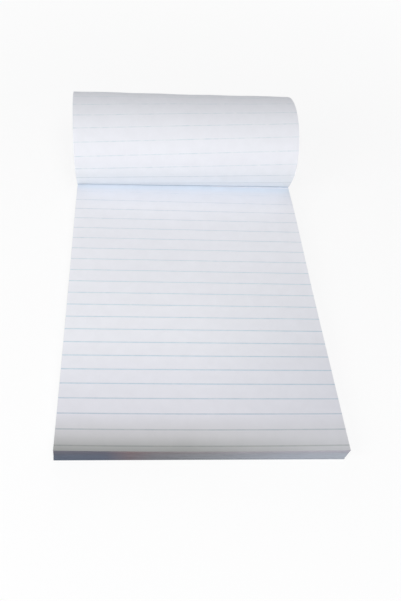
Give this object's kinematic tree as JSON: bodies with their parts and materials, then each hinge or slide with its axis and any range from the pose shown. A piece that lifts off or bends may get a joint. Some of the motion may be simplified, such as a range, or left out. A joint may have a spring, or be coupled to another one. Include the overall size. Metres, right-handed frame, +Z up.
{
  "type": "legal pad",
  "caption": "Head-bound ruled writing pad on a chipboard back, its top leaf turned up and over the taped head so that the next ruled page lies open.",
  "frame": {"origin": "middle of the backing board's underside, on the surface that the pad lies on", "axes": "+X to the right across the page, +Y towards the bound head, +Z up out of the page"},
  "size_m": [0.1553, 0.3304, 0.058],
  "materials": {
    "chipboard": "matt grey-brown chipboard with flecks",
    "page_paper": "matt white uncoated writing paper",
    "leaf_paper": "matt white uncoated writing paper",
    "tape_paper": "smooth white paper tape",
    "staple_wire": "drawn bright wire",
    "ruling_ink": "pale blue printed line"
  },
  "bodies": {
    "root": {"backing_board": "chipboard", "page_block": "page_paper", "turned_leaf": "leaf_paper", "binding_tape": "tape_paper", "wire_staples": "staple_wire", "page_ruling": "ruling_ink", "leaf_ruling": "ruling_ink"}
  },
  "joints": []
}
